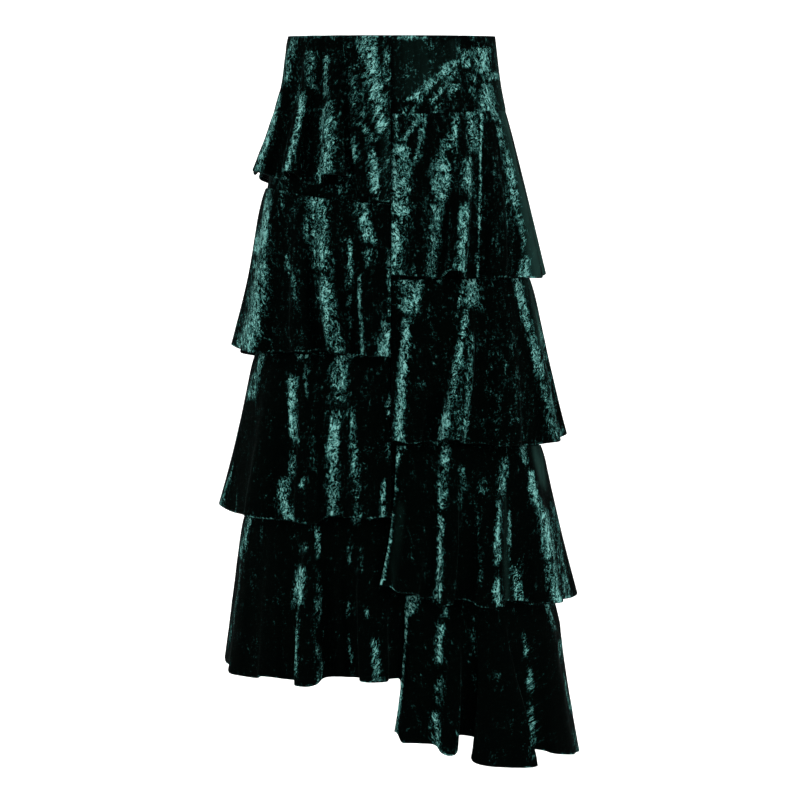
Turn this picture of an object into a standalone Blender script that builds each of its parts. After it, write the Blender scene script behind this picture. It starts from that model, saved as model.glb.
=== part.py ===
"""A maxi skirt of crushed velvet, filled out as if worn. Its waist is at z = 0 and its front faces -Y.

The left half (-X) has four gathered tiers from the waist down. The right half (+X) has a fitted yoke and
four tiers that sit half a tier lower. Both hang on a base skirt. Every piece follows one body section.
Angles on it run in degrees from the centre front (0) past the side seam (90) to the centre back (180).
"""

import math
from collections import namedtuple

import bmesh
import bpy

# Driving sizes, in metres
WALL = 0.0015  # pile and ground of the velvet
SEAM_GAP = 0.0003  # between pieces that are sewn together
FREE_EDGE_GAP = 0.0007  # between two tiers' edges, whose folds turn the edges towards each other
LAYER_OUT = WALL + 0.0005  # from the base skirt's middle to that of a piece sewn onto it
SEAM_ALLOWANCE = 0.008  # base cloth that runs up behind the yoke
HEM_ALLOWANCE = 0.004  # base cloth below the last tier's seam
WAIST_HALF_WIDTH = 0.1372

WAIST_FRONT = -0.0134  # the waist edge dips between the side seams
YOKE_BOTTOM_FRONT = -0.1189  # height of the yoke's lower seam at the centre
YOKE_BOTTOM_SIDE = -0.1040
PRINCESS_TOP_ANGLE = 40.0
PRINCESS_BOTTOM_ANGLE = 36.6

# Form of a tier from its seam to its hem
PUFF_REACH = 0.08  # share of the tier in which the gathers push it off the base
FLARE_POWER = 1.5
FOLD_POWER = 0.75

# Grid of the pieces
TIER_ROWS = (0.0, 0.07, 0.27, 0.5, 0.75, 1.0)
DEGREES_PER_COLUMN = 5.0
LEAST_COLUMNS_IN_A_FOLD = 3
TUBE_CURL = 1.5  # from this curl on, a fold is a tube and takes more columns
EXTRA_TUBE_COLUMNS = 3
BASE_COLUMNS = 12
BASE_ROWS = 12
YOKE_COLUMNS = 9
YOKE_ROWS = 3

# The body section: half-widths of the two halves, and depths in front of and behind the side seams
Section = namedtuple("Section", "height left right front back")
SECTIONS = (
    Section(0.000, 0.1372, WAIST_HALF_WIDTH, 0.0910, 0.0910),
    Section(-0.065, 0.1390, 0.1450, 0.1010, 0.1040),
    Section(-0.105, 0.1450, 0.1525, 0.1080, 0.1140),
    Section(-0.210, 0.1680, 0.1700, 0.1220, 0.1300),
    Section(-0.330, 0.1740, 0.1845, 0.1340, 0.1420),
    Section(-0.430, 0.1815, 0.1920, 0.1410, 0.1480),
    Section(-0.550, 0.1890, 0.1990, 0.1490, 0.1550),
    Section(-0.650, 0.1965, 0.2080, 0.1560, 0.1610),
    Section(-0.770, 0.2060, 0.2190, 0.1640, 0.1680),
    Section(-0.980, 0.2180, 0.2360, 0.1770, 0.1790),
)

# Turns of a tier's hem, by turns a trough and a crest. place: angle at the hem. lean: how much further
# round the fold starts at the seam. out: from the base skirt to the hem. drop: below the hem's plain line.
# curl: how far the flanks of a crest close round it (0 a soft wave, 1 upright flanks, over 1 a tube).
Turn = namedtuple("Turn", "place lean out drop curl")
Tier = namedtuple("Tier", "side number top_front top_side hem_front hem_side puff flare turns")

TIERS = (
    Tier("left", 1, WAIST_FRONT, 0.0, -0.222, -0.187, 0.003, 0.016, (
        Turn(0, 0, 0.012, 0.014, 0.0),
        Turn(10.8, 8, 0.026, 0.005, 1.8),
        Turn(15, 9, 0.012, -0.018, 0.0),
        Turn(21.5, 8, 0.034, -0.016, 0.8),
        Turn(35.5, 4, 0.012, 0.001, 0.0),
        Turn(42.5, 5, 0.036, -0.011, 1.2),
        Turn(53.5, 6, 0.011, 0.002, 0.0),
        Turn(67, 4, 0.030, -0.003, 0.9),
        Turn(80, 2, 0.020, -0.001, 0.0),
        Turn(90, 0, 0.0205, 0.000, 0.4),
    )),
    Tier("left", 2, -0.2546, -0.2137, -0.436, -0.418, 0.004, 0.024, (
        Turn(0, 0, 0.018, 0.001, 0.0),
        Turn(6, 4, 0.034, 0.001, 0.7),
        Turn(12, 6, 0.020, 0.000, 0.0),
        Turn(19, 10, 0.038, -0.001, 0.8),
        Turn(26, 9, 0.020, -0.005, 0.0),
        Turn(32, 8, 0.040, -0.001, 0.8),
        Turn(45, 6, 0.022, 0.002, 0.0),
        Turn(57, 5, 0.038, 0.007, 0.6),
        Turn(75, 2, 0.026, 0.004, 0.0),
        Turn(90, 0, 0.034, 0.000, 0.4),
    )),
    Tier("left", 3, -0.4353, -0.4295, -0.645, -0.633, 0.004, 0.026, (
        Turn(0, 0, 0.018, -0.003, 0.0),
        Turn(9, 4, 0.034, -0.002, 0.6),
        Turn(19, 5, 0.020, -0.002, 0.0),
        Turn(28, 5, 0.044, 0.008, 0.9),
        Turn(38, 4, 0.022, 0.007, 0.0),
        Turn(50, 3, 0.038, 0.007, 0.6),
        Turn(66, 2, 0.026, 0.007, 0.0),
        Turn(90, 0, 0.036, 0.000, 0.4),
    )),
    Tier("left", 4, -0.6440, -0.6493, -0.849, -0.8475, 0.004, 0.012, (
        Turn(-4.2, 0, 0.006, -0.001, 0.0),
        Turn(5.9, 2, 0.050, -0.001, 1.2),
        Turn(12.8, 3, 0.008, -0.002, 0.0),
        Turn(16, 3, 0.014, -0.003, 0.0),
        Turn(19.3, 3, 0.008, -0.002, 0.0),
        Turn(26, 3, 0.050, 0.007, 1.2),
        Turn(33.5, 3, 0.012, 0.0045, 0.0),
        Turn(44, 3, 0.022, 0.002, 0.5),
        Turn(54, 2, 0.014, 0.007, 0.0),
        Turn(64, 2, 0.020, 0.010, 0.5),
        Turn(77, 1, 0.0125, -0.001, 0.0),
        Turn(90, 0, 0.0130, 0.000, 0.3),
    )),
    Tier("right", 1, YOKE_BOTTOM_FRONT, YOKE_BOTTOM_SIDE, -0.332, -0.3225, 0.002, 0.018, (
        Turn(0, 0, 0.010, -0.001, 0.0),
        Turn(10, 6, 0.026, 0.001, 0.6),
        Turn(16, 9, 0.014, 0.003, 0.0),
        Turn(23, 10, 0.032, -0.005, 0.8),
        Turn(31, 10, 0.014, 0.005, 0.0),
        Turn(42, 9, 0.028, 0.005, 0.6),
        Turn(52, 8, 0.018, 0.006, 0.0),
        Turn(66, 5, 0.030, 0.007, 0.6),
        Turn(78, 2, 0.020, 0.003, 0.0),
        Turn(90, 0, 0.023, 0.000, 0.4),
    )),
    Tier("right", 2, -0.3369, -0.3284, -0.547, -0.5386, 0.004, 0.026, (
        Turn(0, 0, 0.014, -0.002, 0.0),
        Turn(7, 2, 0.032, 0.001, 0.6),
        Turn(13, 6, 0.018, -0.001, 0.0),
        Turn(20, 10, 0.044, -0.003, 0.9),
        Turn(28, 9, 0.018, 0.003, 0.0),
        Turn(42, 7, 0.036, 0.008, 0.6),
        Turn(54, 6, 0.024, 0.010, 0.0),
        Turn(68, 4, 0.038, 0.008, 0.7),
        Turn(79, 2, 0.028, 0.004, 0.0),
        Turn(90, 0, 0.037, 0.000, 0.4),
    )),
    Tier("right", 3, -0.5515, -0.5531, -0.742, -0.7543, 0.004, 0.022, (
        Turn(-3.5, 5.2, 0.030, -0.014, 0.0),
        Turn(5, 4, 0.044, -0.005, 0.6),
        Turn(11, 5, 0.028, 0.001, 0.0),
        Turn(16.5, 5, 0.048, 0.009, 0.9),
        Turn(20.5, 6, 0.026, 0.003, 0.0),
        Turn(30, 7, 0.048, 0.012, 0.9),
        Turn(41, 6, 0.022, 0.004, 0.0),
        Turn(56, 4, 0.038, 0.007, 0.7),
        Turn(72, 2, 0.026, 0.003, 0.0),
        Turn(90, 0, 0.0315, 0.000, 0.4),
    )),
    Tier("right", 4, -0.7585, -0.7664, -0.930, -0.966, 0.004, 0.016, (
        Turn(0.9, 3.6, 0.020, -0.0165, 0.0),
        Turn(3.6, 3.4, 0.034, -0.0045, 0.5),
        Turn(11, 3, 0.026, -0.003, 0.0),
        Turn(16, 4, 0.048, 0.008, 0.8),
        Turn(21.3, 4, 0.018, -0.015, 0.0),
        Turn(28.6, 4, 0.054, 0.013, 3.0),
        Turn(46, 4, 0.016, -0.005, 0.0),
        Turn(62, 3, 0.028, -0.001, 0.8),
        Turn(77, 1, 0.016, -0.001, 0.0),
        Turn(90, 0, 0.0165, 0.000, 0.4),
    )),
)

FACES = ("front", "back")


def measure(height, column):
    """One of the body's measures at a height, on a smooth curve through the rows of SECTIONS."""
    last = len(SECTIONS) - 2
    row = sum(section.height > height for section in SECTIONS) - 1
    row = min(max(row, 0), last)
    above, below = SECTIONS[row], SECTIONS[row + 1]
    before, after = SECTIONS[max(row - 1, 0)], SECTIONS[min(row + 2, last + 1)]
    span = below.height - above.height
    part = (height - above.height) / span
    start, end = getattr(above, column), getattr(below, column)
    start_slope = (end - getattr(before, column)) / (below.height - before.height) * span
    end_slope = (getattr(after, column) - start) / (after.height - above.height) * span
    return (
        start * (2 * part**3 - 3 * part**2 + 1)
        + start_slope * (part**3 - 2 * part**2 + part)
        + end * (3 * part**2 - 2 * part**3)
        + end_slope * (part**3 - part**2)
    )


def on_body(side, face, angle, height, out, gap=SEAM_GAP):
    """The point this far out from the base skirt, moved clear of the centre and side seams by half a gap."""
    turn = math.radians(angle)
    half_width = measure(height, side)
    depth = measure(height, "front" if angle < 90 else "back")
    outward_x = math.sin(turn) / half_width
    outward_y = math.cos(turn) / depth
    length = math.hypot(outward_x, outward_y)
    x = half_width * math.sin(turn) + out * outward_x / length + gap / 2
    y = -depth * math.cos(turn) - out * outward_y / length
    y += gap / 2 if face == "back" else -gap / 2
    return (-x if side == "left" else x, y, height)


def level(front, side, angle):
    """A height that runs from one value at the centre to another at the side seam."""
    return side + (front - side) * math.cos(math.radians(angle)) ** 2


def turns_of(tier, face):
    """The turns of one piece of a tier. The back has the other half's folds, and its centre edge is straight."""
    if face == "front":
        return tier.turns
    other = next(t for t in TIERS if t.number == tier.number and t.side != tier.side)
    centre_edge = tier.turns[0]._replace(place=0, lean=0)
    row = (centre_edge,) + other.turns[1:-1] + (tier.turns[-1],)
    return tuple(turn._replace(place=180 - turn.place, lean=-turn.lean) for turn in reversed(row))


def tier_point(tier, face, turns, place, down):
    """The tier's middle surface. place counts turns from the piece's first edge, down runs from seam to hem."""
    first = min(int(place), len(turns) - 2)
    part = place - first
    here, after = turns[first], turns[first + 1]
    start = here.place + here.lean * (1 - down**2)
    end = after.place + after.lean * (1 - down**2)
    curl = max(here.curl, after.curl) * down
    angle = start + (end - start) * (part + curl * math.sin(2 * math.pi * part) / (2 * math.pi))
    across = (1 - math.cos(math.pi * part)) / 2
    out = here.out + (after.out - here.out) * across
    drop = here.drop + (after.drop - here.drop) * across
    top = level(tier.top_front, tier.top_side, angle) - SEAM_GAP / 2
    hem = level(tier.hem_front, tier.hem_side, angle) - drop
    height = top + (hem - top) * down
    off_base = (
        tier.puff * (1 - math.exp(-down / PUFF_REACH))
        + tier.flare * down**FLARE_POWER
        + (out - tier.puff - tier.flare) * down**FOLD_POWER
    )
    return on_body(tier.side, face, angle, height, LAYER_OUT + off_base, FREE_EDGE_GAP)


def tier_columns(turns):
    """Places of a tier piece's columns, so that every turn of the hem has one."""
    places = []
    for first, (here, after) in enumerate(zip(turns, turns[1:])):
        count = max(LEAST_COLUMNS_IN_A_FOLD, math.ceil((after.place - here.place) / DEGREES_PER_COLUMN))
        if max(here.curl, after.curl) > TUBE_CURL:
            count += EXTRA_TUBE_COLUMNS
        places += [first + step / count for step in range(count)]
    return places + [len(turns) - 1]


def even_steps(count):
    return [step / count for step in range(count + 1)]


def seam_line(tier, angle):
    return level(tier.top_front, tier.top_side, angle)


def cloth(name, across, down, point, material, collection):
    """One piece of cloth: a grid laid on the surface that point(across, down) gives, with both faces."""
    columns, rows = len(across) - 1, len(down) - 1
    grid = bmesh.new()
    bmesh.ops.create_grid(grid, x_segments=columns, y_segments=rows, size=0.5)
    for vertex in grid.verts:
        column = round((vertex.co.x + 0.5) * columns)
        row = round((0.5 - vertex.co.y) * rows)
        vertex.co = point(across[column], down[row])
    mesh = bpy.data.meshes.new(name)
    grid.to_mesh(mesh)
    grid.free()
    mesh.shade_smooth()
    mesh.materials.append(material)
    piece = bpy.data.objects.new(name, mesh)
    collection.objects.link(piece)
    wall = piece.modifiers.new("wall", "SOLIDIFY")
    wall.thickness = WALL
    wall.offset = 0.0
    wall.use_even_offset = True
    return piece


def velvet(name, colour, roughness):
    material = bpy.data.materials.new(name)
    material.use_nodes = True
    shader = material.node_tree.nodes["Principled BSDF"]
    shader.inputs["Base Color"].default_value = (*colour, 1.0)
    shader.inputs["Roughness"].default_value = roughness
    shader.inputs["Metallic"].default_value = 0.0
    return material


def make_tiers(collection):
    for tier in TIERS:
        for face in FACES:
            turns = turns_of(tier, face)
            name = f"tier_{tier.side}_{tier.number}_{face}"

            def point(place, down, tier=tier, face=face, turns=turns):
                return tier_point(tier, face, turns, place, down)

            pile = velvet(name, (0.004, 0.024, 0.019), 0.75)
            cloth(name, tier_columns(turns), TIER_ROWS, point, pile, collection)


def make_base(collection):
    """Four panels that carry the tiers. The left ones reach the waist, the right ones hang from the yoke."""
    for side in ("left", "right"):
        last_tier = [tier for tier in TIERS if tier.side == side][-1]
        for face in FACES:

            def point(across, down, side=side, face=face, last_tier=last_tier):
                angle = 90 * across if face == "front" else 90 + 90 * across
                top = level(WAIST_FRONT, 0.0, angle)
                if side == "right":
                    top = level(YOKE_BOTTOM_FRONT, YOKE_BOTTOM_SIDE, angle) + SEAM_ALLOWANCE
                bottom = seam_line(last_tier, angle) - HEM_ALLOWANCE
                return on_body(side, face, angle, top + (bottom - top) * down, 0.0)

            name = f"base_{side}_{face}"
            ground = velvet(name, (0.003, 0.016, 0.013), 0.8)
            cloth(name, even_steps(BASE_COLUMNS), even_steps(BASE_ROWS), point, ground, collection)


def make_yoke(collection):
    """Four fitted panels. A princess seam parts each face's panels between the centre and the side."""
    inset = math.degrees(SEAM_GAP / 2 / WAIST_HALF_WIDTH)
    for name, face, centre in (
        ("yoke_front", "front", True),
        ("yoke_side_front", "front", False),
        ("yoke_side_back", "back", False),
        ("yoke_back", "back", True),
    ):

        def point(across, down, face=face, centre=centre):
            princess = PRINCESS_TOP_ANGLE + (PRINCESS_BOTTOM_ANGLE - PRINCESS_TOP_ANGLE) * down
            if centre:
                angle = (princess - inset) * across
            else:
                angle = princess + inset + (90 - princess - inset) * across
            if face == "back":
                angle = 180 - angle
            top = level(WAIST_FRONT, 0.0, angle)
            bottom = level(YOKE_BOTTOM_FRONT, YOKE_BOTTOM_SIDE, angle) + SEAM_GAP / 2
            return on_body("right", face, angle, top + (bottom - top) * down, LAYER_OUT)

        pile = velvet(name, (0.004, 0.026, 0.020), 0.7)
        cloth(name, even_steps(YOKE_COLUMNS), even_steps(YOKE_ROWS), point, pile, collection)


def main():
    for leftover in list(bpy.data.objects):
        bpy.data.objects.remove(leftover)
    skirt = bpy.data.collections.new("ruffled_maxi_skirt")
    bpy.context.scene.collection.children.link(skirt)
    make_base(skirt)
    make_yoke(skirt)
    make_tiers(skirt)


main()
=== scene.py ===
"""The looks of the ruffled maxi skirt: crushed velvet tiers, a fitted yoke and the base skirt under them."""

import itertools
import math
from collections import namedtuple

import bmesh
import bpy
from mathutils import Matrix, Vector, noise


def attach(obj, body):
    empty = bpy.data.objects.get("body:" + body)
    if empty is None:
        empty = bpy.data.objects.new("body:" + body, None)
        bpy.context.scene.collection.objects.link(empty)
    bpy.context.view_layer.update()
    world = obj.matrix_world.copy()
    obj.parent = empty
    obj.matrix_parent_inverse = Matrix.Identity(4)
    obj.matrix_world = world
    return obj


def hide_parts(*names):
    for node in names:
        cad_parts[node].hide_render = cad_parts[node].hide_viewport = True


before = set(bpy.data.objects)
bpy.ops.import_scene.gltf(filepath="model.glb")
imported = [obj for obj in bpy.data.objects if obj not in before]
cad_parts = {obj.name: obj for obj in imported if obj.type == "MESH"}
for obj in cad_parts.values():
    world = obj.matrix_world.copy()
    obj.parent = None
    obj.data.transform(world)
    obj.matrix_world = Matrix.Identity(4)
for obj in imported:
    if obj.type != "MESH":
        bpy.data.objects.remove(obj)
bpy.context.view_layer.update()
scene = bpy.context.scene
scene.view_settings.view_transform = "Standard"

# ---------------------------------------------------------------------------------------------------------
# The picture. A round floor of pale paper that curves up all about, a large softbox on each side, a weaker
# one in front, and a camera level with the middle of the skirt, as far off as the photograph's.
# ---------------------------------------------------------------------------------------------------------
CAMERA_DISTANCE = 3.1
CAMERA_X = 0.0115
CAMERA_HEIGHT = -0.4922
VIEW_WIDTH = 1.0832  # of the picture, at the side seams
SENSOR = 36.0
FLOOR_HEIGHT = -1.04
FLOOR_RADIUS = 5.5
PAPER_BEND = 1.2
PAPER_BEND_STEPS = 12
PAPER_TOP = 3.4
PAPER_SEGMENTS = 64

camera_data = bpy.data.cameras.new("camera")
camera_data.sensor_width = SENSOR
camera_data.lens = SENSOR * CAMERA_DISTANCE / VIEW_WIDTH
camera = bpy.data.objects.new("camera", camera_data)
camera.location = (CAMERA_X, -CAMERA_DISTANCE, CAMERA_HEIGHT)
camera.rotation_euler = (math.radians(90), 0, 0)
scene.collection.objects.link(camera)
scene.camera = camera

world = bpy.data.worlds.new("studio")
scene.world = world
world.use_nodes = True
world.node_tree.nodes["Background"].inputs["Color"].default_value = (1, 1, 1, 1)
world.node_tree.nodes["Background"].inputs["Strength"].default_value = 0.6


def plain_material(name, colour, roughness):
    """A new material and its shader, with one colour and roughness to start from."""
    material = bpy.data.materials.new(name)
    material.use_nodes = True
    shader = material.node_tree.nodes["Principled BSDF"]
    shader.inputs["Base Color"].default_value = (*colour, 1)
    shader.inputs["Roughness"].default_value = roughness
    return material, shader


paper_profile = [(0.0, FLOOR_HEIGHT)]
for step in range(PAPER_BEND_STEPS + 1):
    angle = math.radians(90 * step / PAPER_BEND_STEPS)
    paper_profile.append(
        (FLOOR_RADIUS + PAPER_BEND * math.sin(angle), FLOOR_HEIGHT + PAPER_BEND * (1 - math.cos(angle)))
    )
paper_profile.append((FLOOR_RADIUS + PAPER_BEND, PAPER_TOP))

bowl = bmesh.new()
centre = bowl.verts.new((0, 0, FLOOR_HEIGHT))
rings = []
for radius, height in paper_profile[1:]:
    turns = [2 * math.pi * step / PAPER_SEGMENTS for step in range(PAPER_SEGMENTS)]
    ring = [(radius * math.cos(turn), radius * math.sin(turn), height) for turn in turns]
    rings.append([bowl.verts.new(place) for place in ring])
for step in range(PAPER_SEGMENTS):
    after = (step + 1) % PAPER_SEGMENTS
    bowl.faces.new((centre, rings[0][step], rings[0][after]))
    for low, high in zip(rings, rings[1:]):
        bowl.faces.new((low[after], low[step], high[step], high[after]))
bowl_mesh = bpy.data.meshes.new("studio_floor")
bowl.to_mesh(bowl_mesh)
bowl.free()
bowl_mesh.shade_smooth()
studio_floor = bpy.data.objects.new("studio_floor", bowl_mesh)
scene.collection.objects.link(studio_floor)
paper, paper_shader = plain_material("backdrop_paper", (0.9, 0.9, 0.9), 0.9)
paper_shader.inputs["Emission Color"].default_value = (1, 1, 1, 1)
paper_shader.inputs["Emission Strength"].default_value = 0.45
bowl_mesh.materials.append(paper)

Softbox = namedtuple("Softbox", "name place aim width height power")
SOFTBOXES = (
    Softbox("softbox_left", (-2.2, -1.3, -0.2), (0, 0, -0.5), 1.0, 2.0, 60),
    Softbox("softbox_right", (2.2, -1.3, -0.2), (0, 0, -0.5), 1.0, 2.0, 60),
    Softbox("softbox_front", (0.0, -3.0, 1.8), (0, 0, -0.5), 1.5, 1.0, 20),
    Softbox("softbox_behind", (0.0, 2.8, 1.2), (0, 0, -0.5), 2.0, 1.5, 50),
)
for box in SOFTBOXES:
    lamp_data = bpy.data.lights.new(box.name, "AREA")
    lamp_data.shape = "RECTANGLE"
    lamp_data.size = box.width
    lamp_data.size_y = box.height
    lamp_data.energy = box.power
    lamp = bpy.data.objects.new(box.name, lamp_data)
    lamp.location = box.place
    lamp.rotation_euler = (Vector(box.aim) - Vector(box.place)).to_track_quat("-Z", "Y").to_euler()
    scene.collection.objects.link(lamp)

# ---------------------------------------------------------------------------------------------------------
# The crushed velvet. Its pile is pressed flat in crackled patches; the light these catch is painted into the
# colour as thin bright teal veins, a painted sheen, and between them the pile stands up, nearly black. Each
# piece carries two values that say where: how crackled the pile is and how bright its painted sheen, and how
# far a smooth grey painted sheen lies on it, as on pile that turns away. The wrong side is a dark knit.
# ---------------------------------------------------------------------------------------------------------
PILE_DARK = (0.0002, 0.0005, 0.0004)
# painted sheen: the smooth grey of pile that turns away
PILE_GRAZING_SHEEN = (0.0062, 0.0180, 0.0150)
# from the pile's own near black up to the bright teal of its painted sheen
PILE_AND_SHEEN_SHADES = (
    (0.00, PILE_DARK),
    (0.18, (0.0018, 0.0070, 0.0062)),
    (0.40, (0.0075, 0.0290, 0.0265)),
    (0.62, (0.0230, 0.0850, 0.0760)),
    (0.82, (0.0560, 0.1680, 0.1520)),
    (1.00, (0.1150, 0.2650, 0.2450)),
)
KNIT = (0.050, 0.043, 0.044)
# the cells of each part of the pile's pattern, counted in a metre of cloth
SMOOTH_PATCHES = 22
CRUSHED_PATCHES = 60
STRANDS = 120
CRUMBS = 190
PITS = 270
GRAIN = 800
WIDE_VEINS = 85
FINE_VEINS = 185
KNIT_WALES = 260


def velvet_material(name):
    material, shader = plain_material(name, PILE_DARK, 0.8)
    shader.inputs["Specular IOR Level"].default_value = 0.003
    shader.inputs["Sheen Weight"].default_value = 0.008
    shader.inputs["Sheen Roughness"].default_value = 0.3
    shader.inputs["Sheen Tint"].default_value = (0.45, 0.85, 0.76, 1)
    nodes, links = material.node_tree.nodes, material.node_tree.links

    def maths(operation, first, second=None, third=None, clamp=False):
        node = nodes.new("ShaderNodeMath")
        node.operation = operation
        node.use_clamp = clamp
        for socket, value in zip(node.inputs, (first, second, third)):
            if isinstance(value, (int, float)):
                socket.default_value = value
            elif value is not None:
                links.new(value, socket)
        return node.outputs[0]

    def rise(value, low, high):
        """0 up to low, then a soft rise to 1 at high."""
        node = nodes.new("ShaderNodeMapRange")
        node.interpolation_type = "SMOOTHSTEP"
        node.inputs["From Min"].default_value = low
        node.inputs["From Max"].default_value = high
        links.new(value, node.inputs["Value"])
        return node.outputs["Result"]

    def blend(factor, first, second):
        node = nodes.new("ShaderNodeMix")
        node.data_type = "RGBA"
        links.new(factor, node.inputs["Factor"])
        for socket, colour in ((node.inputs[6], first), (node.inputs[7], second)):
            if isinstance(colour, tuple):
                socket.default_value = (*colour, 1)
            else:
                links.new(colour, socket)
        return node.outputs[2]

    cloth_place = nodes.new("ShaderNodeUVMap")
    cloth_place.uv_map = "Cloth"

    def drawn_out(share):
        """The place on the cloth, with the pattern drawn out down the cloth: share is 1 for not at all."""
        node = nodes.new("ShaderNodeMapping")
        node.inputs["Scale"].default_value = (1.0, share, 1.0)
        links.new(cloth_place.outputs["UV"], node.inputs["Vector"])
        return node

    drawn_down = drawn_out(0.70)
    drawn_long = drawn_out(0.16)

    def pile_noise(scale, detail, distortion=0.0, roughness=0.5, drawn=drawn_down):
        node = nodes.new("ShaderNodeTexNoise")
        node.noise_dimensions = "2D"
        node.inputs["Scale"].default_value = scale
        node.inputs["Detail"].default_value = detail
        node.inputs["Roughness"].default_value = roughness
        node.inputs["Distortion"].default_value = distortion
        links.new(drawn.outputs["Vector"], node.inputs["Vector"])
        return node.outputs["Fac"]

    def veins(scale, distortion, reach):
        """1 on the wriggly lines where a noise crosses its middle value, falling to 0 at reach from it."""
        off_middle = maths("ABSOLUTE", maths("SUBTRACT", pile_noise(scale, 2, distortion, 0.6), 0.5))
        return maths("SUBTRACT", 1.0, maths("DIVIDE", off_middle, reach), clamp=True)

    def given(name):
        node = nodes.new("ShaderNodeAttribute")
        node.attribute_name = name
        return node.outputs["Fac"]

    crush_and_sheen, grazing_sheen = given("crush_and_sheen"), given("grazing_sheen")
    patches = maths("SUBTRACT", pile_noise(CRUSHED_PATCHES, 2, 0.5), 0.5)
    strands = maths("SUBTRACT", pile_noise(STRANDS, 2, 0.6, 0.6, drawn_long), 0.5)
    crumbs = maths("SUBTRACT", pile_noise(CRUMBS, 2, 0.8, 0.6), 0.5)
    grain = pile_noise(GRAIN, 2, 0.3, 0.7)

    # how far inside a crackled patch each point is, and so how bright its painted sheen: the value sets it,
    # the noises make it uneven
    depth = maths("MULTIPLY_ADD", crush_and_sheen, 1.30, -1.13)
    for unevenness, share in ((patches, 1.00), (strands, 1.00), (crumbs, 1.55)):
        depth = maths("MULTIPLY_ADD", unevenness, share, depth)
    fine_veins = maths("MULTIPLY", veins(FINE_VEINS, 1.1, 0.085), 0.90)
    crackle = maths("MAXIMUM", veins(WIDE_VEINS, 1.3, 0.070), fine_veins)
    gleam = maths("ADD", depth, crackle)
    pits = maths("SUBTRACT", 1.0, rise(pile_noise(PITS, 2, 0.8, 0.6), 0.36, 0.50))
    gleam = maths("MULTIPLY_ADD", pits, -0.45, gleam)
    gleam = maths("MULTIPLY_ADD", maths("SUBTRACT", grain, 0.5), 0.65, gleam, clamp=True)

    # the colour runs from the pile's own near black to the bright teal of the painted sheen
    shades = nodes.new("ShaderNodeValToRGB")
    ramp = shades.color_ramp
    ramp.elements[0].position, ramp.elements[0].color = PILE_AND_SHEEN_SHADES[0][0], (*PILE_AND_SHEEN_SHADES[0][1], 1)
    ramp.elements[1].position, ramp.elements[1].color = PILE_AND_SHEEN_SHADES[-1][0], (*PILE_AND_SHEEN_SHADES[-1][1], 1)
    for position, shade in PILE_AND_SHEEN_SHADES[1:-1]:
        ramp.elements.new(position).color = (*shade, 1)
    links.new(gleam, shades.inputs["Fac"])
    # painted sheen: a smooth grey, as on pile turned away, laid in patches where the value says
    painted_grazing_sheen = maths("MULTIPLY", grazing_sheen, rise(pile_noise(SMOOTH_PATCHES, 3, 0.6, 0.6, drawn_long), 0.30, 0.62))
    ground = blend(painted_grazing_sheen, PILE_DARK, PILE_GRAZING_SHEEN)
    # painted sheen: where the crackle gleams, the ramp's bright teal is painted over the ground
    links.new(blend(rise(gleam, 0.0, 0.3), ground, shades.outputs["Color"]), shader.inputs["Base Color"])
    links.new(maths("MULTIPLY_ADD", gleam, -0.35, 0.9), shader.inputs["Roughness"])

    bump = nodes.new("ShaderNodeBump")
    bump.inputs["Strength"].default_value = 0.6
    bump.inputs["Distance"].default_value = 0.0012
    links.new(maths("MULTIPLY_ADD", grain, 0.35, gleam), bump.inputs["Height"])
    links.new(bump.outputs["Normal"], shader.inputs["Normal"])
    return material


def knit_material(name):
    material, shader = plain_material(name, KNIT, 0.85)
    shader.inputs["Specular IOR Level"].default_value = 0.05
    shader.inputs["Sheen Weight"].default_value = 0.04
    shader.inputs["Sheen Tint"].default_value = (0.8, 0.78, 0.75, 1)
    nodes, links = material.node_tree.nodes, material.node_tree.links
    cloth_place = nodes.new("ShaderNodeUVMap")
    cloth_place.uv_map = "Cloth"
    wales = nodes.new("ShaderNodeTexWave")
    wales.inputs["Scale"].default_value = KNIT_WALES
    wales.inputs["Distortion"].default_value = 1.5
    wales.inputs["Detail"].default_value = 2
    links.new(cloth_place.outputs["UV"], wales.inputs["Vector"])
    shade = nodes.new("ShaderNodeMix")
    shade.data_type = "RGBA"
    shade.inputs[6].default_value = (*[part * 0.7 for part in KNIT], 1)
    shade.inputs[7].default_value = (*[part * 1.25 for part in KNIT], 1)
    links.new(wales.outputs["Fac"], shade.inputs["Factor"])
    links.new(shade.outputs[2], shader.inputs["Base Color"])
    bump = nodes.new("ShaderNodeBump")
    bump.inputs["Strength"].default_value = 0.35
    bump.inputs["Distance"].default_value = 0.0004
    links.new(wales.outputs["Fac"], bump.inputs["Height"])
    links.new(bump.outputs["Normal"], shader.inputs["Normal"])
    return material


velvet = velvet_material("crushed_velvet")
knit = knit_material("velvet_wrong_side")

# ---------------------------------------------------------------------------------------------------------
# The base skirt: four plain panels of the same velvet that carry the tiers, sewn at the centre and the
# sides. The left ones reach the waist and the right ones hang from the yoke. Only narrow strips of them show.
# ---------------------------------------------------------------------------------------------------------
WALL = 0.0013
FREE_EDGE_GAP = 0.0003
LAYER_OUT = 0.0020
WAIST_FRONT = -0.0134
YOKE_BOTTOM_FRONT = -0.1189
YOKE_BOTTOM_SIDE = -0.1040

# the body's half width on the left and on the right, and its depth to the front and to the back
Section = namedtuple("Section", "height left right front back")
SECTIONS = (
    Section(0.000, 0.1372, 0.1372, 0.0910, 0.0910),
    Section(-0.065, 0.1390, 0.1450, 0.1010, 0.1040),
    Section(-0.105, 0.1450, 0.1525, 0.1080, 0.1140),
    Section(-0.210, 0.1680, 0.1700, 0.1220, 0.1300),
    Section(-0.330, 0.1740, 0.1845, 0.1340, 0.1420),
    Section(-0.430, 0.1815, 0.1920, 0.1410, 0.1480),
    Section(-0.550, 0.1890, 0.1990, 0.1490, 0.1550),
    Section(-0.650, 0.1965, 0.2080, 0.1560, 0.1610),
    Section(-0.770, 0.2060, 0.2190, 0.1640, 0.1680),
    Section(-0.980, 0.2180, 0.2360, 0.1770, 0.1790),
)


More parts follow.
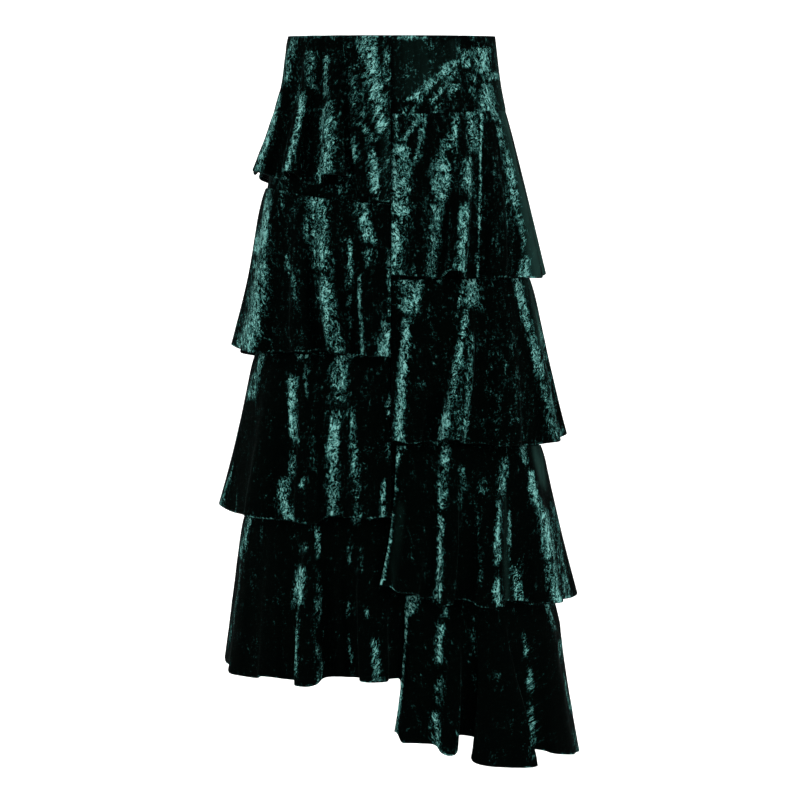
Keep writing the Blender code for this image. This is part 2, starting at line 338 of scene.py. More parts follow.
def measure(height, column):
    """One of the body's measures at a height, on a smooth curve through the rows of SECTIONS."""
    last = len(SECTIONS) - 2
    row = sum(section.height > height for section in SECTIONS) - 1
    row = min(max(row, 0), last)
    above, below = SECTIONS[row], SECTIONS[row + 1]
    before, after = SECTIONS[max(row - 1, 0)], SECTIONS[min(row + 2, last + 1)]
    span = below.height - above.height
    part = (height - above.height) / span
    start, end = getattr(above, column), getattr(below, column)
    start_slope = (end - getattr(before, column)) / (below.height - before.height) * span
    end_slope = (getattr(after, column) - start) / (after.height - above.height) * span
    return (
        start * (2 * part**3 - 3 * part**2 + 1)
        + start_slope * (part**3 - 2 * part**2 + part)
        + end * (3 * part**2 - 2 * part**3)
        + end_slope * (part**3 - part**2)
    )


def on_body(side, angle, height, out, gap=0.0):
    """The point this far out from the base skirt, clear of the centre line by half a gap."""
    turn = math.radians(angle)
    half_width = measure(height, side)
    depth = measure(height, "front" if angle < 90 else "back")
    outward_x = math.sin(turn) / half_width
    outward_y = math.cos(turn) / depth
    length = math.hypot(outward_x, outward_y)
    x = half_width * math.sin(turn) + out * outward_x / length + gap / 2
    y = -depth * math.cos(turn) - out * outward_y / length
    return Vector((-x if side == "left" else x, y, height))


def level(front, side, angle):
    """A height that runs from one value at the centre to another at the side seam."""
    return side + (front - side) * math.cos(math.radians(angle)) ** 2


def waist_height(angle):
    """The waist edge, which looks straight from the camera."""
    return WAIST_FRONT * abs(math.cos(math.radians(angle)))


def even_steps(count):
    return [step / count for step in range(count + 1)]


def smooth(low, high, value):
    """0 below low, 1 above high, and a soft rise between."""
    part = min(max((value - low) / (high - low), 0), 1)
    return part * part * (3 - 2 * part)


# A band of crushed pile with a painted sheen, where a fold catches the light. start and end: shares of the
# way
# down the piece. first, middle and last: how far from the centre its line lies there, and width and
# width_below: how wide it is, all in millimetres. strength: how bright its painted sheen is, from 0 to 1, and
# below 0 for cloth that lies smooth under a grey painted sheen.
Streak = namedtuple("Streak", "start end first middle last width width_below strength")


def pile_at(streaks, off_centre, down):
    """How crushed the pile is and how bright its painted sheen, this far from the centre and down the piece,
    and how much smooth grey sheen is painted there.
    """
    crush_and_sheen, grazing_sheen = 0.0, 0.0
    for streak in streaks:
        if not streak.start - 0.02 <= down <= streak.end + 0.02:
            continue
        part = min(max((down - streak.start) / (streak.end - streak.start), 0), 1)
        line = (
            streak.first * (1 - part) * (1 - 2 * part)
            + streak.middle * 4 * part * (1 - part)
            + streak.last * part * (2 * part - 1)
        )
        half_width = (streak.width + (streak.width_below - streak.width) * part) / 2
        value = 1 - smooth(0.2, 2.0, abs(off_centre - line) / half_width)
        if streak.start > 0:
            value *= smooth(-0.02, 0.06, down - streak.start)
        if streak.end < 1:
            value *= smooth(-0.02, 0.06, streak.end - down)
        if streak.strength < 0:
            grazing_sheen = max(grazing_sheen, -streak.strength * value)
        else:
            crush_and_sheen = max(crush_and_sheen, streak.strength * value)
    return crush_and_sheen, grazing_sheen


CREASE_RISE = 0.0009  # of the cloth along a crushed band with painted sheen
DRAPE_RISE = 0.0012  # of the slow unevenness all over
DRAPE_WAVES = 24  # in a metre, as all waves here
RIPPLE_WAVES = 70
RIPPLE_SHARE = 0.4  # of the unevenness
SIDE_WANDER = 14  # of the bands beside the side seams, in millimetres
SIDE_WAVES = 22
SIDE_BLEND = (0.015, 0.055)  # how far from the side seam one set of bands gives way to the other
HEM_FOLD = 0.0011  # half the thickness of the turned-up hem
STITCHES_UP = 0.7  # share of the hem's turn at which it is stitched
# the crush and painted sheen inside the turned-up hem
INSIDE_CRUSH_AND_SHEEN = 0.3
CUT_STEP = 0.731  # between the places in the velvet where one piece and the next are cut
CUT_ROOM = 3.0
cut_numbers = itertools.count(1)
hem_runs = []


def stray_crush_and_sheen(height):
    """Crush and painted sheen where no band runs: a little more so towards the waist."""
    return 0.10 + 0.17 * smooth(-0.75, -0.1, height)


def glints(line, least, spread, waves, shift=0.0):
    """Crush and painted highlights along an edge, where it catches the light here and there."""
    return [least + spread * noise.noise(corner * waves + Vector((shift, 0, 0))) for corner in line]


def slopes_of(grid):
    """The way out of the cloth and the way down it at each corner, and the sign that faces out."""
    last_row, last_column = len(grid) - 1, len(grid[0]) - 1
    normals, downward, away = [], [], 0.0
    for row, line in enumerate(grid):
        normals.append([])
        downward.append([])
        for column, corner in enumerate(line):
            beside = line[min(column + 1, last_column)] - line[max(column - 1, 0)]
            below = grid[min(row + 1, last_row)][column] - grid[max(row - 1, 0)][column]
            normal = beside.cross(below).normalized()
            away += normal.x * corner.x + normal.y * corner.y
            normals[-1].append(normal)
            downward[-1].append(below.normalized())
    sign = math.copysign(1.0, away)
    return [[normal * sign for normal in line] for line in normals], downward, sign


def flat_measure(grid):
    """How far each corner lies along its row from the middle, and how far down its column, once flat."""
    width = len(grid[0])
    run = [[0.0] * width for _ in grid]
    fall = [[0.0] * width for _ in grid]
    for row, line in enumerate(grid):
        for column in range(1, width):
            run[row][column] = run[row][column - 1] + (line[column] - line[column - 1]).length
        middle = run[row][width // 2]
        run[row] = [value - middle for value in run[row]]
        if row:
            for column in range(width):
                fall[row][column] = fall[row - 1][column] + (line[column] - grid[row - 1][column]).length
    return run, fall


def turned_up(edge, outward, downward, depth):
    """A hem's edge, the rows that turn it up inside below that, and the run of its stitches."""
    new_edge, run = [], []
    rows = [[] for _ in range(6)]
    for corner, out, along in zip(edge, outward, downward):
        corner = corner - along * (HEM_FOLD + WALL / 2)
        new_edge.append(corner)
        centre = corner - out * HEM_FOLD
        for step in range(3):
            turn = math.radians(60 * (step + 1))
            rows[step].append(centre + (out * math.cos(turn) + along * math.sin(turn)) * HEM_FOLD)
            rows[step + 3].append(centre - out * HEM_FOLD - along * depth * (step + 1) / 3)
        run.append(centre - out * (HEM_FOLD + WALL / 2) - along * depth * STITCHES_UP)
    return new_edge, rows, run


def cloth(node, across, down, point, streaks, crease=0.0, hem=0.0, side_streaks=None):
    """The piece that stands for a node: a cloth on the surface point(across, down).

    crease: the share of its small unevenness. hem: how far its lower edge is turned up inside.
    side_streaks: the bands beside the side seam, where they aren't the same.
    """
    grid = [[point(place, row) for place in across] for row in down]
    width = len(across)
    outward, downward, sign = slopes_of(grid)

    crush_and_sheen_rows, grazing_sheen_rows = [], []
    for row, line in enumerate(grid):
        crush_and_sheen_rows.append([])
        grazing_sheen_rows.append([])
        for column, corner in enumerate(line):
            off_centre = 1000 * (-corner.x if "left" in node else corner.x)
            wander = 1 - smooth(0.010, 0.060, abs(corner.y))
            off_centre += SIDE_WANDER * wander * noise.noise(corner * SIDE_WAVES)
            crush_and_sheen, grazing_sheen = pile_at(streaks, off_centre, down[row])
            if side_streaks:
                beside = 1 - smooth(*SIDE_BLEND, abs(corner.y))
                side_crush_and_sheen, side_grazing_sheen = pile_at(side_streaks, off_centre, down[row])
                crush_and_sheen += (side_crush_and_sheen - crush_and_sheen) * beside
                grazing_sheen += (side_grazing_sheen - grazing_sheen) * beside
            if crease:
                # the unevenness dies out towards the seams, which hold the cloth
                place = across[column]
                clear = smooth(0, 0.4, place - across[0]) * smooth(0, 0.4, across[-1] - place)
                clear *= smooth(0, 0.08, down[row])
                slow = noise.noise(corner * DRAPE_WAVES) + RIPPLE_SHARE * noise.noise(corner * RIPPLE_WAVES)
                rise = crease * clear * (CREASE_RISE * crush_and_sheen + DRAPE_RISE * slow)
                line[column] = corner + outward[row][column] * rise
            crush_and_sheen_rows[-1].append(max(crush_and_sheen, stray_crush_and_sheen(corner.z)))
            grazing_sheen_rows[-1].append(grazing_sheen)
    if hem:
        # painted highlights: broken glints along the seam and along the hem's edge
        for row in (0, 1):
            crush_and_sheen_rows[row] = [max(*pair) for pair in zip(crush_and_sheen_rows[row], glints(grid[row], 0.38, 0.6, 32, 5))]
        edge_glints = glints(grid[-1], 0.45, 0.45, 35)
        crush_and_sheen_rows[-1] = [max(*pair) for pair in zip(crush_and_sheen_rows[-1], edge_glints)]
        grid[-1], turned, run = turned_up(grid[-1], outward[-1], downward[-1], hem)
        hem_runs.append(run)
        grid += turned
        crush_and_sheen_rows += [edge_glints] * 2 + [[INSIDE_CRUSH_AND_SHEEN] * width] * (len(turned) - 2)
        grazing_sheen_rows += [[0.0] * width] * len(turned)

    mesh = bpy.data.meshes.new(f"{node}_cloth")
    faces = []
    for row in range(len(grid) - 1):
        for column in range(width - 1):
            corner = row * width + column
            faces.append((corner, corner + width, corner + width + 1, corner + 1))
    mesh.from_pydata([tuple(p) for row in grid for p in row], [], faces)
    if sign > 0:
        mesh.flip_normals()

    # the flat cloth's own measure, in metres, so that the pile's pattern keeps its size in every fold
    run, fall = flat_measure(grid)
    shift = (next(cut_numbers) * CUT_STEP) % CUT_ROOM
    uv = mesh.uv_layers.new(name="Cloth")
    for loop in mesh.loops:
        row, column = divmod(loop.vertex_index, width)
        uv.data[loop.index].uv = (run[row][column] + shift, -fall[row][column] + shift * 0.37)
    # the crush with its painted sheen, and the grey painted sheen, go onto the piece as two attributes
    for label, values in (("crush_and_sheen", crush_and_sheen_rows), ("grazing_sheen", grazing_sheen_rows)):
        attribute = mesh.attributes.new(label, "FLOAT", "POINT")
        attribute.data.foreach_set("value", [value for row in values for value in row])

    mesh.materials.append(velvet)
    mesh.materials.append(knit)
    mesh.shade_smooth()
    piece = bpy.data.objects.new(f"{node}_cloth", mesh)
    scene.collection.objects.link(piece)
    wall = piece.modifiers.new("wall", "SOLIDIFY")
    wall.thickness = WALL
    wall.offset = 0.0
    wall.material_offset = 1
    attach(piece, "root")
    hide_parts(node)


BASE_COLUMNS = 60
BASE_ROWS = 80
BASE_BOTTOMS = {"left": (-0.6440, -0.6493), "right": (-0.7585, -0.7664)}
HEM_ALLOWANCE = 0.004
SEAM_ALLOWANCE = 0.008
# bands of crushed pile with painted sheen on the base skirt
BASE_STREAKS = (
    Streak(0.0, 1.0, 60, 60, 60, 40, 50, 0.38),
    Streak(0.0, 1.0, 130, 140, 150, 30, 40, 0.30),
)

for side in ("left", "right"):
    for face in ("front", "back"):

        def base_point(across, down, side=side, face=face):
            angle = 90 * across if face == "front" else 90 + 90 * across
            top = waist_height(angle)
            if side == "right":
                top = level(YOKE_BOTTOM_FRONT, YOKE_BOTTOM_SIDE, angle) + SEAM_ALLOWANCE
            bottom = level(*BASE_BOTTOMS[side], angle) - HEM_ALLOWANCE
            return on_body(side, angle, top + (bottom - top) * down, 0.0)

        cloth(
            f"base_{side}_{face}",
            even_steps(BASE_COLUMNS),
            even_steps(BASE_ROWS),
            base_point,
            BASE_STREAKS,
        )

# ---------------------------------------------------------------------------------------------------------
# The yoke: four fitted velvet panels over the right hip, with a princess seam between the centre and the
# side panel of each face. Their edges dip into the seams, and crushed bands with painted sheen run slantwise
# across the front.
# ---------------------------------------------------------------------------------------------------------
PRINCESS_TOP = 40.0
PRINCESS_BOTTOM = 36.6
YOKE_COLUMNS = 80
YOKE_ROWS = 80
YOKE_OUT = LAYER_OUT + 0.0006
SEAM_HALF_GAP = 0.06  # between the panels of a face, in degrees
SEAM_DIP = 0.0011
LOWER_SEAM_DIP = 0.8 * SEAM_DIP
SEAM_DIP_REACH = 0.0035
METRES_PER_DEGREE = 0.0024
YOKE_CREASE = 0.3
YOKE_STREAKS = {
    "centre": (
        Streak(0, 0.09, 26, 26, 26, 39, 45, 0.95),
        Streak(0, 0.05, 80, 80, 80, 10, 10, 0.5),
        Streak(0.29, 0.86, 87, 57, 22, 24, 16, 1),
        Streak(0.88, 1, 24, 19, 15, 7, 7, 0.8),
        Streak(0.6, 0.82, 87, 80, 74, 16, 8, 0.9),
        Streak(0.84, 1, 69, 61, 55, 10, 10, 0.8),
        Streak(0.47, 0.58, 22, 22, 22, 10, 13, 0.7),
        Streak(0.25, 0.31, 13, 13, 13, 9, 8, 0.5),
        Streak(0, 0.8, 30, 26, 20, 60, 40, -0.12),
        Streak(0.05, 0.7, 70, 60, 50, 40, 36, -0.2),
        Streak(0, 0.35, 52, 56, 60, 14, 12, 0.42),
        Streak(0.34, 0.62, 12, 22, 30, 16, 16, 0.45),
        Streak(0.42, 0.9, 84, 70, 46, 12, 10, 0.85),
        Streak(0.62, 1, 54, 40, 28, 14, 12, 0.72),
        Streak(0.1, 0.26, 89, 89, 88, 8, 8, 0.75),
        Streak(0, 0.03, 45, 45, 45, 90, 90, 0.6),
    ),
    "side": (
        Streak(0.16, 0.46, 97, 99, 99, 20, 16, 0.85),
        Streak(0.12, 0.52, 120, 121, 120, 22, 24, 1),
        Streak(0.44, 0.64, 102, 106, 113, 16, 14, 0.8),
        Streak(0.46, 0.64, 134, 131, 128, 22, 20, 0.95),
        Streak(0.6, 1, 128, 128, 127, 16, 26, 1),
        Streak(0.62, 0.98, 104, 108, 112, 12, 12, 0.55),
        Streak(0, 0.2, 110, 112, 114, 10, 12, 0.5),
        Streak(0, 0.03, 115, 115, 115, 60, 60, 0.6),
        Streak(0.1, 1, 138, 142, 148, 8, 10, -0.3),
    ),
}


def seam_dip(distance, depth):
    """How far the cloth sinks towards a seam at this distance."""
    return depth * math.exp(-((distance / SEAM_DIP_REACH) ** 2))


Panel = namedtuple("Panel", "node face part")
for panel in (
    Panel("yoke_front", "front", "centre"),
    Panel("yoke_side_front", "front", "side"),
    Panel("yoke_side_back", "back", "side"),
    Panel("yoke_back", "back", "centre"),
):

    def yoke_point(across, down, panel=panel):
        princess = PRINCESS_TOP + (PRINCESS_BOTTOM - PRINCESS_TOP) * down
        if panel.part == "centre":
            start, end = 0.0, princess - SEAM_HALF_GAP
        else:
            start, end = princess + SEAM_HALF_GAP, 90.0
        angle = start + (end - start) * across
        dip = seam_dip(min(angle - start, end - angle) * METRES_PER_DEGREE, SEAM_DIP)
        if panel.face == "back":
            angle = 180 - angle
        top = waist_height(angle)
        bottom = level(YOKE_BOTTOM_FRONT, YOKE_BOTTOM_SIDE, angle)
        dip = max(dip, seam_dip((1 - down) * (top - bottom), LOWER_SEAM_DIP))
        return on_body("right", angle, top + (bottom - top) * down, YOKE_OUT - dip)

    cloth(
        panel.node,
        even_steps(YOKE_COLUMNS),
        even_steps(YOKE_ROWS),
        yoke_point,
        YOKE_STREAKS[panel.part],
        crease=YOKE_CREASE,
    )

# ---------------------------------------------------------------------------------------------------------
# The tiers: flounces cut on a curve, so that each lies smooth along its seam and falls into waves at its
# narrow hem. Four hang on each half, the right ones half a tier lower. TIERS gives the turns of every hem,
# and STREAKS the crushed bands with painted sheen that run down the folds.
# ---------------------------------------------------------------------------------------------------------
PUFF_REACH = 0.08
FLARE_POWER = 1.5
FOLD_POWER = 0.75
COLUMNS_IN_A_FOLD = 16
TIER_ROWS = [0.0, 0.007] + even_steps(56)[1:-1] + [0.99, 1.0]
HEM_TURN = 0.005
BACK_LIFTS = {("left", 1): 0.010, ("left", 4): 0.008}  # of a back's hem, which stays behind the front's
# a back's centre edge, where it isn't the front's: one closes the seam, one keeps its corner out of sight
BACK_EDGES = {("left", 4): {"place": -0.9}, ("right", 4): {"drop": -0.040}}

# A crest or recess of the folds at the hem. place: degrees from the centre, and lean: how much further it
# stands at the top. out: distance from the base. drop: of the hem, below the tier's own line. curl: how far
# the cloth rolls over beside it.
Turn = namedtuple("Turn", "place lean out drop curl")
# A gathered tier. top and hem: heights at the centre and at the side. puff: how far it stands out below
# its seam, and flare: how far it swings out towards the hem.
Tier = namedtuple("Tier", "side number top_front top_side hem_front hem_side puff flare turns")

TIERS = (
    Tier("left", 1, WAIST_FRONT, 0.0, -0.222, -0.187, 0.003, 0.016, (
        Turn(0, 0, 0.012, 0.014, 0.0),
        Turn(10.8, 8, 0.026, 0.005, 1.8),
        Turn(15, 9, 0.012, -0.018, 0.0),
        Turn(21.5, 8, 0.034, -0.016, 0.8),
        Turn(35.5, 4, 0.012, 0.001, 0.0),
        Turn(42.5, 5, 0.036, -0.011, 1.2),
        Turn(53.5, 6, 0.011, 0.002, 0.0),
        Turn(67, 4, 0.030, -0.003, 0.9),
        Turn(80, 2, 0.020, -0.001, 0.0),
        Turn(90, 0, 0.0205, 0.000, 0.4),
    )),
    Tier("left", 2, -0.2370, -0.2065, -0.436, -0.418, 0.004, 0.024, (
        Turn(0, 0, 0.018, 0.001, 0.0),
        Turn(6, 4, 0.034, 0.001, 0.7),
        Turn(12, 6, 0.020, 0.000, 0.0),
        Turn(19, 10, 0.038, -0.001, 0.8),
        Turn(26, 9, 0.020, -0.005, 0.0),
        Turn(32, 8, 0.040, -0.001, 0.8),
        Turn(45, 6, 0.022, 0.002, 0.0),
        Turn(57, 5, 0.038, 0.007, 0.6),
        Turn(75, 2, 0.026, 0.004, 0.0),
        Turn(90, 0, 0.034, 0.000, 0.4),
    )),
    Tier("left", 3, -0.4353, -0.4295, -0.645, -0.633, 0.004, 0.026, (
        Turn(0, 0, 0.018, -0.003, 0.0),
        Turn(9, 4, 0.034, -0.002, 0.6),
        Turn(19, 5, 0.020, -0.002, 0.0),
        Turn(28, 5, 0.044, 0.008, 0.9),
        Turn(38, 4, 0.022, 0.007, 0.0),
        Turn(50, 3, 0.038, 0.007, 0.6),
        Turn(66, 2, 0.026, 0.007, 0.0),
        Turn(90, 0, 0.036, 0.000, 0.4),
    )),
    Tier("left", 4, -0.6440, -0.6493, -0.849, -0.8475, 0.004, 0.012, (
        Turn(-4.2, -1.4, 0.006, -0.001, 0.0),
        Turn(5.9, 2, 0.050, -0.001, 1.2),
        Turn(12.8, 3, 0.008, -0.002, 0.0),
        Turn(16, 3, 0.014, -0.003, 0.0),
        Turn(19.3, 3, 0.008, -0.002, 0.0),
        Turn(26, 3, 0.050, 0.007, 1.2),
        Turn(33.5, 3, 0.012, 0.0045, 0.0),
        Turn(44, 3, 0.022, 0.002, 0.5),
        Turn(54, 2, 0.014, 0.007, 0.0),
        Turn(64, 2, 0.020, 0.006, 0.5),
        Turn(77, 1, 0.0125, -0.003, 0.0),
        Turn(90, 0, 0.0130, -0.006, 0.3),
    )),
    Tier("right", 1, YOKE_BOTTOM_FRONT, YOKE_BOTTOM_SIDE, -0.332, -0.3225, 0.002, 0.018, (
        Turn(0, 0, 0.010, -0.001, 0.0),
        Turn(10, 6, 0.026, 0.001, 0.6),
        Turn(16, 9, 0.014, 0.003, 0.0),
        Turn(23, 10, 0.032, -0.005, 0.8),
        Turn(31, 10, 0.014, 0.005, 0.0),
        Turn(42, 9, 0.028, 0.005, 0.6),
        Turn(52, 8, 0.018, 0.006, 0.0),
        Turn(66, 5, 0.030, 0.007, 0.6),
        Turn(78, 2, 0.020, 0.003, 0.0),
        Turn(90, 0, 0.023, 0.000, 0.4),
    )),
    Tier("right", 2, -0.3369, -0.3284, -0.547, -0.5386, 0.004, 0.026, (
        Turn(0, 0, 0.014, -0.002, 0.0),
        Turn(7, 2, 0.032, 0.001, 0.6),
        Turn(13, 6, 0.018, -0.001, 0.0),
        Turn(20, 10, 0.044, -0.003, 0.9),
        Turn(28, 9, 0.018, 0.003, 0.0),
        Turn(42, 7, 0.036, 0.008, 0.6),
        Turn(54, 6, 0.024, 0.010, 0.0),
        Turn(68, 4, 0.038, 0.008, 0.7),
        Turn(79, 2, 0.028, 0.004, 0.0),
        Turn(90, 0, 0.037, 0.000, 0.4),
    )),
    Tier("right", 3, -0.5515, -0.5531, -0.742, -0.7543, 0.004, 0.022, (
        Turn(-3.5, 5.2, 0.030, -0.014, 0.0),
        Turn(5, 4, 0.044, -0.005, 0.6),
        Turn(11, 5, 0.028, 0.001, 0.0),
        Turn(16.5, 5, 0.048, 0.009, 0.9),
        Turn(20.5, 6, 0.026, 0.003, 0.0),
        Turn(30, 7, 0.048, 0.012, 0.9),
        Turn(41, 6, 0.022, 0.004, 0.0),
        Turn(56, 4, 0.038, 0.007, 0.7),
        Turn(72, 2, 0.026, 0.003, 0.0),
        Turn(90, 0, 0.0315, 0.000, 0.4),
    )),
    Tier("right", 4, -0.7430, -0.7664, -0.930, -0.966, 0.004, 0.016, (
        Turn(0.9, 3.6, 0.020, -0.0165, 0.0),
        Turn(3.6, 3.4, 0.034, -0.0045, 0.5),
        Turn(11, 3, 0.026, -0.003, 0.0),
        Turn(16, 4, 0.048, 0.008, 0.8),
        Turn(21.3, 4, 0.018, -0.015, 0.0),
        Turn(28.6, 4, 0.054, 0.018, 4.0),
        Turn(44.3, 4, 0.016, -0.005, 0.0),
        Turn(62, 3, 0.028, -0.001, 0.8),
        Turn(77, 1, 0.016, -0.001, 0.0),
        Turn(90, 0, 0.0165, 0.000, 0.4),
    )),
)

